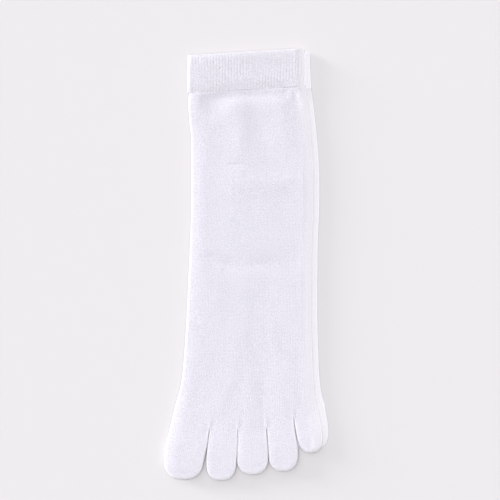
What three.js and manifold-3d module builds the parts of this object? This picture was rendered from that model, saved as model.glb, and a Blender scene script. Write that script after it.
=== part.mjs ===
// A pair of knitted toe socks, laid flat one on the other, sole to sole.
// Millimetres, +Z up. The pair lies on the plane Z = 0 with its toes towards -Y and its cuffs towards +Y.
//
// Each sock is eight knitted pieces: a cuff, a leg-and-foot tube, a heel pocket and five toe pockets.
// A piece is a wall of cloth round a flattened hollow, lofted through rings that its tables give.
// In a sock's own frame x runs across, y runs from the roots of the toes (0) up to the cuff, and n is the
// height from the middle of the flattened sock, with its instep at +n and its sole at -n.

import * as THREE from 'three';
import { mergeVertices } from 'three/addons/utils/BufferGeometryUtils.js';
import Module from 'manifold-3d';

// ---- driving sizes ----
const WALL = 1.0;           // one layer of knitted cloth
const HOLLOW = 0.4;         // space left between the two layers of a flattened tube
const SEAM = 0.3;           // gap where one knitted piece meets the next
const LAY = 0.3;            // gap between layers of cloth that rest on each other
const BODY_FOLD = 5;        // how far in from a side fold the tube reaches its full thickness
const TOE_FOLD = 4;         // the same on a toe pocket
const CUFF_TILT = 0.06;     // slope of the cuff's edges across the sock
const TOE_PUFF = 1.0;       // how much a toe pocket on top of the pair stands up in its middle
const DROOP = { depth: 2.4, past: 1, power: 2.5 };     // an overhanging edge sinks, from just past its fold

const HALF = WALL + HOLLOW / 2;          // half the thickness of a flattened sock
const FLAP = 2 * WALL + SEAM;            // thickness of a heel pocket folded flat
const HUMP = FLAP + LAY;                 // what the folded heels lift the sock that lies over them

// ---- the knitted pieces, in a sock's own frame ----
// tilt and toe say how much a row follows the slope of the cuff, or the slanted line of the toe roots.
const CUFF_ROWS = [
  { y: 288.0, left: -47.0, right: 41.0, tilt: 1, toe: 0 },
  { y: 273.0, left: -47.6, right: 41.2, tilt: 1, toe: 0 },
  { y: 258.5, left: -47.4, right: 41.8, tilt: 1, toe: 0 },
];

const TUBE_ROWS = [
  { y: 258.2, left: -46.6, right: 42.2, tilt: 1.0, toe: 0 },
  { y: 240.0, left: -46.2, right: 43.8, tilt: 0.5, toe: 0 },
  { y: 222.0, left: -44.6, right: 45.6, tilt: 0.1, toe: 0 },
  { y: 208.0, left: -44.5, right: 46.9, tilt: 0, toe: 0 },
  { y: 190.0, left: -44.5, right: 47.5, tilt: 0, toe: 0 },
  { y: 168.0, left: -44.6, right: 47.5, tilt: 0, toe: 0 },
  { y: 148.0, left: -45.1, right: 46.8, tilt: 0, toe: 0 },
  { y: 128.0, left: -45.9, right: 46.4, tilt: 0, toe: 0 },
  { y: 114.0, left: -46.6, right: 46.7, tilt: 0, toe: 0 },
  { y: 86.0, left: -47.9, right: 46.9, tilt: 0, toe: 0 },
  { y: 56.0, left: -49.8, right: 47.8, tilt: 0, toe: 0 },
  { y: 32.0, left: -52.6, right: 49.0, tilt: 0, toe: 0.2 },
  { y: 19.0, left: -56.1, right: 49.9, tilt: 0, toe: 0.5 },
  { y: 8.0, left: -58.9, right: 51.2, tilt: 0, toe: 0.85 },
  { y: 0, left: -60.8, right: 52.8, tilt: 0, toe: 1 },
];

// The line of the toe roots, straight from one crotch to the next.
const TOE_LINE = [
  { x: -70.0, y: 0.0 },
  { x: -30.0, y: 0.0 },
  { x: -8.7, y: 0.2 },
  { x: 12.8, y: 0.6 },
  { x: 33.5, y: 9.7 },
  { x: 60.0, y: 15.6 },
];

// root: where the pocket starts on the toe line. rows: its sides on the way down. tip: its end.
const TOES = [
  { name: 'big_toe', root: [-60.8, -30.2], tip: { x: -51.5, y: -39.0 }, rows: [
    { y: -9, left: -62.6, right: -31.3 },
    { y: -18, left: -64.1, right: -33.8 },
    { y: -26, left: -64.4, right: -37.0 },
  ] },
  { name: 'second_toe', root: [-29.8, -8.9], tip: { x: -21.7, y: -37.6 }, rows: [
    { y: -9, left: -30.9, right: -9.6 },
    { y: -20, left: -32.6, right: -10.2 },
    { y: -29, left: -32.4, right: -11.0 },
  ] },
  { name: 'third_toe', root: [-8.5, 12.6], tip: { x: 2.0, y: -34.5 }, rows: [
    { y: -9, left: -9.2, right: 13.3 },
    { y: -18, left: -9.7, right: 13.7 },
    { y: -26, left: -9.0, right: 12.9 },
  ] },
  { name: 'fourth_toe', root: [13.0, 33.3], tip: { x: 25.4, y: -31.3 }, rows: [
    { y: -8, left: 14.0, right: 35.4 },
    { y: -16, left: 14.4, right: 36.5 },
    { y: -23, left: 15.3, right: 35.8 },
  ] },
  { name: 'little_toe', root: [33.7, 52.8], tip: { x: 46.6, y: -17.6 }, rows: [
    { y: 2, left: 34.7, right: 54.4 },
    { y: -4, left: 35.8, right: 55.3 },
    { y: -9, left: 37.0, right: 54.9 },
  ] },
];

const HEEL = { middle: 1.5, halfWidth: 24, deepest: 32, shallowest: 5, stations: 12 };
const HEEL_END_ANGLES = [-60, -20, 20, 60];            // facets round its folded end, in degrees
const SLOT_CLEAR = 0.3;     // room round the heel pocket's neck in its slot

// ---- how the two socks lie ----
// The lower one is turned over and lies a little shorter, to the side of the upper one. Its heel pocket
// is folded towards the cuff, and the upper one's towards the toes, so that they lie side by side.
const SOCKS = [
  { name: 'lower', turned: true, shift: 4.5, shorter: 0.972, along: 5.1, heelLine: 170, heelFold: 1,
    lean: { big_toe: -3, second_toe: -3, third_toe: -3, fourth_toe: -3, little_toe: 0 } },
  { name: 'upper', turned: false, shift: 0, shorter: 1, along: 0, heelLine: 166, heelFold: -1,
    lean: { big_toe: 0, second_toe: 0, third_toe: 0, fourth_toe: 0, little_toe: 0 } },
];
// The stretch of the upper sock that the folded heels lift, with soft ends and sides.
const LIFTED = { toeEnd: [112, 130], cuffEnd: [224, 206], side: [46, 28] };

// ---- facets ----
const FOLD_STEPS = 3;                                    // facets round a quarter of a side fold
const TOE_FLATS = [-1, 0, 1];                            // where a toe pocket's flat face is divided
const TIP_ANGLES = [30, 55, 76];                         // rings round the end of a toe pocket, in degrees

const { degToRad, smoothstep } = THREE.MathUtils;

// smoothstep that also runs downwards, from 0 at the first value to 1 at the second
const ramp = (value, [from, to]) =>
  (from < to ? smoothstep(value, from, to) : smoothstep(-value, -from, -to));

function toeLine(x) {
  const next = TOE_LINE.findIndex((corner) => corner.x >= x);
  const [from, to] = [TOE_LINE[next - 1], TOE_LINE[next]];
  return THREE.MathUtils.mapLinear(x, from.x, to.x, from.y, to.y);
}

// Where a tube's flat face is divided, as parts of its half width: at its ends, beside the folded heel
// and over each crotch, so that the tube's last ring has the corners of the toe line.
const lastTubeRow = TUBE_ROWS[TUBE_ROWS.length - 1];
const crotchPart = ({ x }) =>
  (2 * x - lastTubeRow.left - lastTubeRow.right) / (lastTubeRow.right - lastTubeRow.left - 2 * BODY_FOLD);
const BODY_FLATS = [-1, -0.85, -0.7, ...TOE_LINE.slice(1, -1).map(crotchPart), 0.85, 1];

const droop = (inward, fold) =>
  DROOP.depth * Math.pow(Math.max(0, 1 - inward / (fold + DROOP.past)), DROOP.power);

// Height of the middle of a flattened sock above the surface that the pair lies on.
// sunk is how far the cloth has drooped there, past the edge of the sock beneath.
function middleHeight(sock, x, y, sunk) {
  if (sock.turned) return HALF;
  const lift = ramp(y, LIFTED.toeEnd) * ramp(y, LIFTED.cuffEnd) * ramp(Math.abs(x - HEEL.middle), LIFTED.side);
  return 2 * HALF + LAY + HALF + HUMP * lift - sunk;
}

// A point of a sock, from its own frame to where it lies in the pair.
function place(sock, x, y, n, sunk = 0) {
  const height = middleHeight(sock, x, y, sunk);
  return new THREE.Vector3(
    x + sock.shift,
    y * sock.shorter + sock.along,
    height + (sock.turned ? -n : n),
  );
}

// The points round one flattened section, from the left fold over the instep to the right fold and
// back under the sole. section: left, right, half (half its thickness), rise (of its middle), fold,
// flats, yAt(x) and sunkAt(x).
function ring(sock, section) {
  const { left, right, half, rise, fold, flats, yAt, sunkAt } = section;
  const centre = (left + right) / 2;
  const flatHalf = (right - left) / 2 - fold;
  const across = [];
  for (let i = 0; i < FOLD_STEPS; i++) {
    const angle = (i / FOLD_STEPS) * Math.PI / 2;
    across.push({ x: left + fold * (1 - Math.cos(angle)), n: half * Math.sin(angle) });
  }
  for (const part of flats) across.push({ x: centre + part * flatHalf, n: half });
  for (let i = FOLD_STEPS - 1; i >= 0; i--) {
    const angle = (i / FOLD_STEPS) * Math.PI / 2;
    across.push({ x: right - fold * (1 - Math.cos(angle)), n: half * Math.sin(angle) });
  }
  const back = across.slice(1, -1).reverse().map(({ x, n }) => ({ x, n: -n }));
  return [...across, ...back].map(({ x, n }) => place(sock, x, yAt(x), n + rise, sunkAt(x)));
}

// The inner face of a section: a wall's thickness in from the sides, round the flat hollow.
function inside(section) {
  return {
    ...section,
    left: section.left + WALL,
    right: section.right - WALL,
    half: section.half - WALL,
    fold: section.fold - WALL,
  };
}

// One closed wall of cloth between two stacks of rings, open at its first ring, and at its last one
// too unless the ends of a pocket, [outer, inner], close it.
function clothWall(outer, inner, ends) {
  const points = [...outer.flat(), ...inner.flat(), ...(ends ?? [])];
  const around = outer[0].length;
  const innerStart = outer.length * around;
  const at = (stack, row, i) => (stack ? innerStart : 0) + row * around + (i % around);
  const faces = [];
  const quad = (a, b, c, d) => faces.push(a, b, c, a, c, d);
  for (let i = 0; i < around; i++) {
    for (let row = 0; row < outer.length - 1; row++) {
      quad(at(0, row, i), at(0, row + 1, i), at(0, row + 1, i + 1), at(0, row, i + 1));
    }
    for (let row = 0; row < inner.length - 1; row++) {
      quad(at(1, row, i), at(1, row, i + 1), at(1, row + 1, i + 1), at(1, row + 1, i));
    }
    quad(at(0, 0, i), at(0, 0, i + 1), at(1, 0, i + 1), at(1, 0, i));
    const lastOuter = outer.length - 1;
    const lastInner = inner.length - 1;
    if (ends) {
      const outerEnd = points.length - 2;
      const innerEnd = points.length - 1;
      faces.push(at(0, lastOuter, i + 1), at(0, lastOuter, i), outerEnd);
      faces.push(at(1, lastInner, i), at(1, lastInner, i + 1), innerEnd);
    } else {
      quad(at(0, lastOuter, i + 1), at(0, lastOuter, i), at(1, lastInner, i), at(1, lastInner, i + 1));
    }
  }
  return facedOutward(points, faces);
}

// A geometry whose faces point out, whichever way up the sock lies.
function facedOutward(points, faces) {
  let volume = 0;
  for (let f = 0; f < faces.length; f += 3) {
    const [a, b, c] = [points[faces[f]], points[faces[f + 1]], points[faces[f + 2]]];
    volume += a.dot(b.clone().cross(c));
  }
  const geometry = new THREE.BufferGeometry().setFromPoints(points);
  geometry.setIndex(volume > 0 ? faces : faces.slice().reverse());
  return geometry;
}

// ---- the pieces ----
function tube(sock, rows) {
  const sections = rows.map((row) => ({
    left: row.left,
    right: row.right,
    half: HALF,
    rise: 0,
    fold: BODY_FOLD,
    flats: BODY_FLATS,
    yAt: (x) => row.y + row.tilt * CUFF_TILT * x + row.toe * toeLine(x),
    sunkAt: (x) => droop(x - row.left, BODY_FOLD),
  }));
  const outer = sections.map((section) => ring(sock, section));
  const inner = sections.map((section) => ring(sock, inside(section)));
  return clothWall(outer, inner);
}

function toePocket(sock, toe) {
  const [rootLeft, rootRight] = toe.root;
  const rootY = toeLine((rootLeft + rootRight) / 2);
  const lastRow = toe.rows[toe.rows.length - 1];
  const reached = (y) => (rootY - y) / (rootY - toe.tip.y);         // 0 at the root, 1 at the tip
  const leanAt = (y) => sock.lean[toe.name] * Math.max(0, reached(y));
  const puffAt = (y) => (sock.turned ? 0 : TOE_PUFF * Math.sin(Math.PI * THREE.MathUtils.clamp(reached(y), 0, 1)));
  const overhangs = toe.name === 'big_toe';

  const section = (y, left, right, thickness, yAt) => ({
    left: left + leanAt(y),
    right: right + leanAt(y),
    half: HALF * thickness + puffAt(y) / 2,
    rise: puffAt(y) / 2,
    fold: Math.min(TOE_FOLD, (right - left) * 0.45),
    flats: TOE_FLATS,
    yAt,
    sunkAt: (x) => droop(Math.min(overhangs ? x - left : Infinity, y - toe.tip.y), TOE_FOLD),
  });

  const sections = [
    section(rootY, rootLeft, rootRight, 1, (x) => toeLine(x) - SEAM),
    ...toe.rows.map(({ y, left, right }) => section(y, left, right, 1, () => y)),
  ];
  // the rounded end: an ellipse in plan from the last row to the tip, thinning as it closes
  const rounded = (angle, endY, halfWidth) => {
    const y = THREE.MathUtils.lerp(lastRow.y, endY, Math.sin(angle));
    const centre = THREE.MathUtils.lerp((lastRow.left + lastRow.right) / 2, toe.tip.x, Math.sin(angle));
    const width = halfWidth * Math.cos(angle);
    return section(y, centre - width, centre + width, Math.sqrt(Math.cos(angle)), () => y);
  };
  const halfWidth = (lastRow.right - lastRow.left) / 2;
  const innerEndY = toe.tip.y + WALL;
  const outerEnds = TIP_ANGLES.map((degrees) => rounded(degToRad(degrees), toe.tip.y, halfWidth));
  const innerEnds = TIP_ANGLES.slice(0, -1).map((degrees) => {
    const end = rounded(degToRad(degrees), innerEndY, halfWidth - WALL);
    return { ...end, half: HOLLOW / 2, fold: Math.min(TOE_FOLD, (end.right - end.left) * 0.45) };
  });
  const outer = [...sections, ...outerEnds].map((part) => ring(sock, part));
  const inner = [...sections.map(inside), ...innerEnds].map((part) => ring(sock, part));
  const tipX = toe.tip.x + leanAt(toe.tip.y);
  const ends = [
    place(sock, tipX, toe.tip.y, 0, droop(0, TOE_FOLD)),
    place(sock, tipX, innerEndY + WALL, 0, droop(2 * WALL, TOE_FOLD)),
  ];
  return clothWall(outer, inner, ends);
}

// The heel pocket, folded flat against the sole: two layers that join round the pocket's curved end,
// with a neck that turns up into the slot in the tube's sole.
function heelPocket(sock) {
  const neck = WALL + SEAM / 2;                // half the neck's size along the sock
  const gap = SEAM / 2;
  const soleFace = -HALF;
  const top = soleFace - LAY;                  // the layer that lies against the sole
  const bottom = top - FLAP;
  const middle = (top + bottom) / 2;
  const neckEnd = soleFace + WALL - gap / 2;

  // One section along the sock, in order round the cloth. Distances run from the heel line to the end.
  const profile = (depth) => {
    const roundOuter = FLAP / 2;
    const tip = depth - roundOuter;
    const endOuter = HEEL_END_ANGLES.map((degrees) => ({
      d: tip + roundOuter * Math.cos(degToRad(degrees)),
      n: middle + roundOuter * Math.sin(degToRad(degrees)),
    }));
    return [
      { d: -neck, n: neckEnd }, { d: -neck, n: bottom + gap }, { d: -neck + WALL / 2, n: bottom },
      { d: tip, n: bottom }, ...endOuter, { d: tip, n: top },
      { d: neck, n: top }, { d: neck, n: neckEnd },
      { d: gap, n: neckEnd }, { d: gap, n: middle + gap },
      { d: tip, n: middle + gap }, { d: tip, n: middle - gap },
      { d: -gap, n: middle - gap }, { d: -gap, n: neckEnd },
    ];
  };

  const { halfWidth, deepest, shallowest, stations } = HEEL;
  const slices = [];
  for (let s = 0; s <= stations; s++) {
    const across = -Math.cos((s / stations) * Math.PI);
    const depth = shallowest + (deepest - shallowest) * Math.sqrt(1 - across * across);
    slices.push(profile(depth).map(({ d, n }) =>
      place(sock, HEEL.middle + across * halfWidth, heelY(sock, d), n)));
  }

  const size = slices[0].length;
  const outline = profile(shallowest).map(({ d, n }) => new THREE.Vector2(d, n));
  const cap = THREE.ShapeUtils.triangulateShape(outline, []);
  const faces = [];
  for (let s = 0; s < stations; s++) {
    for (let i = 0; i < size; i++) {
      const j = (i + 1) % size;
      const [a, b, c, d] = [s * size + i, s * size + j, (s + 1) * size + j, (s + 1) * size + i];
      faces.push(a, b, c, a, c, d);
    }
  }
  const last = stations * size;
  const ordered = THREE.ShapeUtils.isClockWise(outline) ? cap.map(([a, b, c]) => [a, c, b]) : cap;
  for (const [a, b, c] of ordered) {
    faces.push(c, b, a, last + a, last + b, last + c);
  }
  return facedOutward(slices.flat(), faces);
}

// Along the sock, a distance from its heel line in the direction that its heel pocket is folded.
const heelY = (sock, distance) => sock.heelLine + sock.heelFold * distance / sock.shorter;

// The tube with the slot in its sole where the heel pocket's neck is let in.
function slottedTube(sock, wasm) {
  const slotHalf = WALL + SEAM / 2 + SLOT_CLEAR;
  const centre = place(sock, HEEL.middle, sock.heelLine, -HALF + WALL / 2);
  const slot = new THREE.BoxGeometry(2 * (HEEL.halfWidth + SLOT_CLEAR), 2 * slotHalf, WALL + HOLLOW / 2);
  slot.translate(centre.x, centre.y, centre.z);
  return cut(tube(sock, TUBE_ROWS), slot, wasm);
}

// One shape with another cut away.
function cut(whole, away, wasm) {
  const solid = (source) => {
    const bare = source.clone();
    bare.deleteAttribute('normal');
    bare.deleteAttribute('uv');
    const merged = mergeVertices(bare);
    return new wasm.Manifold(new wasm.Mesh({
      numProp: 3,
      vertProperties: new Float32Array(merged.attributes.position.array),
      triVerts: new Uint32Array(merged.index.array),
    }));
  };
  const kept = solid(whole).subtract(solid(away)).getMesh();
  const geometry = new THREE.BufferGeometry();
  geometry.setAttribute('position', new THREE.BufferAttribute(kept.vertProperties, 3));
  geometry.setIndex(new THREE.BufferAttribute(kept.triVerts, 1));
  return geometry;
}

// ---- the pair ----
const wasm = await Module();
wasm.setup();

const knit = () => new THREE.MeshStandardMaterial({ color: 0xeeeef6, roughness: 0.95, metalness: 0 });
const ribbed = () => new THREE.MeshStandardMaterial({ color: 0xe6e5ee, roughness: 0.95, metalness: 0 });

function piece(name, geometry, material) {
  const mesh = new THREE.Mesh(geometry, material);
  mesh.name = name;
  return mesh;
}

const pair = new THREE.Group();
for (const sock of SOCKS) {
  const one = new THREE.Group();
  one.add(piece(`${sock.name}_cuff`, tube(sock, CUFF_ROWS), ribbed()));
  one.add(piece(`${sock.name}_leg_and_foot`, slottedTube(sock, wasm), knit()));
  one.add(piece(`${sock.name}_heel_pocket`, heelPocket(sock), knit()));
  for (const toe of TOES) one.add(piece(`${sock.name}_${toe.name}`, toePocket(sock, toe), knit()));
  pair.add(one);
}

// The pair's origin is the middle of the ground that it covers.
const box = new THREE.Box3().setFromObject(pair);
const middle = box.getCenter(new THREE.Vector3());
pair.position.set(-middle.x, -middle.y, -box.min.z);

export default pair;
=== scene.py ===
"""A pair of knitted toe socks, laid flat one on the other, sole to sole.

In a sock's own frame x runs across it, y runs from the roots of the toes up to the cuff, and n is the
height from the middle of the flattened sock, with the instep at +n and the sole at -n. The tables are in
millimetres. Each sock is then laid where the frame holds it.
"""

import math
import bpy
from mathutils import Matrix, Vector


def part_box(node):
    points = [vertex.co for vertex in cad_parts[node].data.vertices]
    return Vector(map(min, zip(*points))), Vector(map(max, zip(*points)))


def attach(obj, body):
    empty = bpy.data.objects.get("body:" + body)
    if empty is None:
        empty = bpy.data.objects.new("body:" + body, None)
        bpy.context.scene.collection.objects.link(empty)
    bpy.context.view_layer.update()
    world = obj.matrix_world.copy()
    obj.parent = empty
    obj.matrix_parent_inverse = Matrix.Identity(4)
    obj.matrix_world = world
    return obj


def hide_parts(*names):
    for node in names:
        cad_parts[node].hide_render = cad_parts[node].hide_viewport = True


bl_info = {
    "name": "Toe Sock Pair",
    "version": (1, 0, 0),
    "blender": (4, 5, 0),
    "location": "3D Viewport > Sidebar > Toe Socks",
    "description": "Knits a pair of toe socks, with ribbed cuffs and folded heels, and lights them",
    "category": "Mesh",
}

import bpy
import numpy as np
from bpy.props import FloatProperty, FloatVectorProperty, IntProperty, PointerProperty
from mathutils import Vector, noise

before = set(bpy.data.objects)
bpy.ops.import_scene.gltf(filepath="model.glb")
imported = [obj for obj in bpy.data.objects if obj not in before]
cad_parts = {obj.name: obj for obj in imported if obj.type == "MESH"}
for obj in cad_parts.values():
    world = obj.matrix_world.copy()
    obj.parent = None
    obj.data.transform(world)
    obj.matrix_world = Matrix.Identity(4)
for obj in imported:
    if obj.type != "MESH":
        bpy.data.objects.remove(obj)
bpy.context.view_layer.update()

MM = 0.001


def table(columns, *rows):
    """Rows of numbers under named columns."""
    return [dict(zip(columns, row)) for row in rows]


# ---- the knitted shapes, in a sock's own frame ----
SIDES = ("y", "left", "right")
LEG_AND_FOOT = table(
    SIDES,
    (288.0, -46.0, 40.6),
    (268.0, -46.0, 41.0),
    (258.2, -46.2, 42.6),
    (250.0, -46.7, 43.7),
    (240.0, -46.3, 45.1),
    (222.0, -44.6, 47.0),
    (200.0, -44.5, 48.6),
    (168.0, -44.6, 48.8),
    (140.0, -45.4, 47.7),
    (114.0, -46.6, 47.4),
    (86.0, -47.9, 47.3),
    (56.0, -49.8, 48.0),
    (32.0, -52.6, 49.0),
    (19.0, -56.1, 49.9),
    (8.0, -58.9, 51.2),
    (0.0, -60.8, 52.8),
)
CUFF = table(
    SIDES,
    (286.5, -47.0, 41.6),
    (273.0, -47.6, 41.9),
    (258.5, -47.4, 42.6),
)
TOE_LINE = table(
    ("x", "y"),
    (-62.0, 0.0),
    (-30.0, 0.0),
    (-8.7, 0.2),
    (12.8, 0.6),
    (33.5, 9.7),
    (54.0, 14.2),
)
# Each toe pocket: its knitted wales across one face, its tip, and its sides as if it didn't round off.
TOES = [
    {"name": "big_toe", "wales": 23, "tip": -39.2, "sides": table(
        SIDES,
        (0.0, -60.8, -30.2),
        (-9.0, -63.1, -31.4),
        (-18.0, -64.7, -33.2),
        (-26.0, -65.2, -35.0),
        (-39.2, -63.4, -37.4))},
    {"name": "second_toe", "wales": 16, "tip": -39.8, "sides": table(
        SIDES,
        (0.0, -29.8, -8.6),
        (-9.0, -31.3, -8.9),
        (-20.0, -32.7, -9.5),
        (-29.0, -32.8, -10.2),
        (-39.8, -32.4, -11.2))},
    {"name": "third_toe", "wales": 16, "tip": -35.3, "sides": table(
        SIDES,
        (0.6, -8.6, 12.8),
        (-9.0, -8.9, 13.6),
        (-18.0, -9.4, 14.1),
        (-26.0, -9.4, 14.1),
        (-35.3, -9.0, 13.6))},
    {"name": "fourth_toe", "wales": 15, "tip": -32.8, "sides": table(
        SIDES,
        (5.0, 12.9, 33.3),
        (-8.0, 13.7, 35.7),
        (-16.0, 14.2, 36.9),
        (-23.0, 14.6, 36.9),
        (-32.8, 15.2, 36.0))},
    {"name": "little_toe", "wales": 14, "tip": -18.9, "sides": table(
        SIDES,
        (11.6, 33.5, 52.8),
        (2.0, 34.4, 54.6),
        (-4.0, 35.5, 55.5),
        (-9.0, 36.6, 55.7),
        (-18.9, 38.0, 55.4))},
]
# The heel pocket: its outline, its cloth, the gap between its two layers and its clearance from the sole.
HEEL = {
    "middle": 1.5, "half_width": 24.0, "deepest": 32.0, "shallowest": 5.0,
    "cloth": 0.6, "gap": 0.15, "clear": 0.2,
}
# What sets the two socks apart: where the heel pocket is let in and which way it is folded, how far the
# folded heels lift the sock, how far the tips of the first four toes lean, how far all the tips sink, and how
# much longer the little toe is.
SOCKS = {
    "lower": {
        "heel_line": 170.0, "heel_fold": 1, "lift": 0.0,
        "toe_lean": -6.0, "tip_droop": 0.0, "little_longer": 2.5,
    },
    "upper": {
        "heel_line": 166.0, "heel_fold": -1, "lift": 1.7,
        "toe_lean": 0.0, "tip_droop": 0.4, "little_longer": 0.0,
    },
}
# The fold down each side of a flattened tube: how far in from it the tube is thinner, how thick it is there
# as a part of its full height, how far in its edge is rounded, how far in and how much light is painted into
# the yarn's colour beside it, and how much is painted on its very edge. A pressed fold ends in a small
# upright edge.
PRESSED = 0.02
FOLD_COLUMNS = ("slope", "thin", "round", "fluffy", "fluff", "rim")
FOLD_ROWS = {
    "upper_left": (8.0, 0.97, 1.8, 1.6, 0.0, 0.0),
    "upper_right": (9.5, 0.16, PRESSED, 6.6, 0.8, 0.9),
    "lower_left": (8.0, 0.90, 1.0, 3.0, 0.4, 0.0),
    "lower_right": (9.5, 0.16, PRESSED, 9.0, 0.84, 0.9),
    "upper_cuff_left": (8.0, 0.97, 2.7, 1.6, 0.0, 0.0),
    "upper_cuff_right": (7.0, 0.16, PRESSED, 4.6, 0.74, 0.9),
    "lower_cuff_left": (8.0, 0.90, 2.7, 3.0, 0.4, 0.0),
    "lower_cuff_right": (7.0, 0.16, PRESSED, 9.0, 0.62, 0.9),
    "toe_left": (5.0, 0.84, 0.35, 1.4, 0.05, 0.0),
    "toe_right": (3.0, 0.90, 0.4, 2.2, 0.2, 1.0),
    "toe_tip": (3.4, 0.62, 0.3, 3.4, 0.6, 1.0),
}
FOLDS = {name: dict(zip(FOLD_COLUMNS, row)) for name, row in FOLD_ROWS.items()}
RIM_WIDTH = 0.8  # how far in the light painted on a fold's very edge reaches
LIGHT_PAINT_POWER = 2.5  # how suddenly the light painted beside a fold ends

# ---- the creases, given one by one ----
# Each one's middle, its turn from the sock's width in degrees, its half length and half width, and its
# height, which is below 0 for a trough.
INSTEP_CREASES = table(
    ("x", "y", "turn", "length", "width", "height"),
    # gathers that fan out below the cuff
    (-25.0, 247.0, 40, 13.0, 7.8, -0.7),
    (-6.5, 222.0, 94, 30.0, 7.5, 0.2),
    (10.5, 221.0, 99, 32.0, 8.0, -0.25),
    (28.0, 232.0, 98, 25.0, 7.5, 0.48),
    (35.6, 252.0, 114, 11.0, 4.2, -0.8),
    (40.0, 249.5, 118, 9.0, 2.6, 0.15),
    # a slack roll along the ankle, by the right fold
    (41.5, 184.0, 90, 48.0, 8.0, 0.3),
    # the print of the folded heels below
    (-9.0, 196.0, -8, 9.0, 3.0, 0.2),
    (8.0, 186.0, 3, 26.0, 7.5, 0.62),
    (-20.0, 127.0, -14, 16.0, 5.0, -1.5),
    (14.0, 126.0, 4, 20.0, 5.2, -0.9),
    # slack over the foot
    (-24.0, 92.0, 74, 24.0, 8.0, 0.14),
    (26.0, 70.0, 101, 28.0, 8.0, -0.12),
    (-14.0, 34.0, 68, 17.0, 6.0, 0.25),
    (10.0, 26.0, 92, 14.0, 5.0, -0.25),
)
# a short pinch across the ankle
PINCH = {"x": -10.8, "y": 200.8, "turn": 3, "length": 4.5, "width": 0.9, "height": -0.6}


# ---- how the knit runs, joins and lies ----
# A fade is a stretch over which something comes in: none of it at the first number, all at the second.
CUFF_TILT = 0.06  # rise of the cuff's edges for each millimetre across
TILT_FADE = (222.0, 258.0)  # the courses' tilt, up the leg
COURSE_LEAN = {"from": 45.0, "power": 1.3}  # where the courses start to lean to the toes, and how suddenly
BY_RIGHT_FOLD = (26.0, 34.0)  # the part of each face that is by the right fold
TOE_SPACING_FADE = (90.0, 0.0)  # the wales' even spacing gives way to the toes'
CUFF_FOLD_REACH = 14.0  # how far below the seam the leg's folds turn into the cuff's

SEAM = 257.9  # the cuff's lower edge
SKIN_TOP = 258.6  # where the leg's knit starts, just inside the cuff
SEAM_STEP = 0.12  # how far the cuff's lower edge stands out over the leg
STEP_FADE = (5.5, 0.5)  # below the seam, the step that makes room for it
STEP_LOST = 0.95  # how much of the step is lost by the right fold
# how high the cuff's lower edge lies by the right fold, and how far down the leg follows it there
SEAM_LEVEL = {"height": 0.5, "reach": 9.0}
CREASE_FADE = (-1.0, 2.5)  # below the seam, the creases

# the swell below the cuff: its height, how far below the seam its crest is, how far it reaches up and down
# from there, and how much is lost at the places where it is flat
SWELL = {"height": 0.32, "crest": 12.0, "up": 6.0, "down": 13.0, "flattened": 0.9}
SWELL_FLATS = [{"x": -34.0, "width": 15.0}, {"x": 29.0, "width": 6.0}]
# the dip just under the seam, with its fades from the left and the right: how far below the seam it is
# deepest, and how wide it is
SEAM_DIP = {"depth": 0.66, "left": (-41.0, -32.0), "right": (33.0, 26.0), "below": 5.0, "width": 3.4}
# the ridge and the hollow above each crotch
PUCKERS = [
    {"height": 0.40, "width": 1.3, "above": 3.0, "length": 3.0},
    {"height": -0.30, "width": 3.6, "above": 1.0, "length": 4.5},
]
PUCKERS_BEHIND = 0.3  # how much of them the hidden face has
HIDDEN_RELIEF = (-0.3, 0.05)  # the least and the most relief of the lower sock
# the waves of loose cloth
SLACK_WAVES = [
    {"across": 21.0, "along": 34.0, "height": 0.24, "seed": 11.0},
    {"across": 7.0, "along": 9.0, "height": 0.07, "seed": 16.0},
]

# the hump over the folded heels on each face: its fades from the toes, from the cuff and from both sides
HUMPS = {
    "sole": {"toes": (104.0, 134.0), "cuff": (232.0, 202.0), "aside": (46.0, 24.0)},
    "instep": {"toes": (92.0, 150.0), "cuff": (244.0, 190.0), "aside": (48.0, 8.0)},
}
INSTEP_HUMP = 0.12  # how much of the lift shows on the instep
# how the side that overhangs the lower sock droops at the cuff: how far in, how steeply and how much it
# curves; then how that changes down the leg, the foot and the toes
DROOP = {"reach": 4.5, "steep": 0.083, "curve": 3.0}
DROOP_CHANGES = [
    {"fade": (258.0, 215.0), "reach": 5.9, "steep": 0.0, "curve": 0.0},
    {"fade": (130.0, 70.0), "reach": -3.5, "steep": 0.0, "curve": 0.0},
    {"fade": (40.0, 10.0), "reach": 3.1, "steep": 0.042, "curve": -1.0},
]
TIP_DROOP_REACH = 6.0  # how far up from its tip a toe sinks
BENEATH_FADE = (0.0, 25.0)  # up from the toe roots, the sock sinks over the one beneath
LOWEST = 0.05  # how far above the floor the points of the skin stay
CLOTH_PART = 0.8  # the most of a flattened tube's height that its cloth may fill
LEAST_WALL, FULL_WALL = 3.0, 10.0  # the thinnest and the full cloth, in tenths of its thickness

# the ribbed cuff, with its fades measured up from the seam: it stands over the leg, gapes at its opening, has
# deeper valleys and a scalloped edge by the seam, and has light painted into its colour along its top edge
CUFF_CROWN = {"height": 0.6, "fade": (-1.0, 7.0)}
CUFF_GAPE = {"height": 0.5, "depth": 14.0, "x": -3.0, "width": 30.0}
SEAM_VALLEYS = {"depth": 0.05, "fade": (4.0, 1.0)}
SCALLOPS = {"depth": 0.2, "fade": (1.2, 0.0)}
CUFF_TOP_LIGHT_PAINT = {"fluff": 0.13, "depth": 3.2}

# the toe pockets
TOE_SQUARENESS = 2.4  # of a toe's end, where 2 is an ellipse
PUFF_REACH = 10.0  # how far down from its root a toe takes on its puff
ROOT_REACH = 8.0  # how far down from its root it takes on its own shape
FOLD_ROOM = 0.8  # the most of a toe's half width that a fold may take
WEB_RISE = 0.5  # how far the webs lie above the ends of the toes' slits

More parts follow.
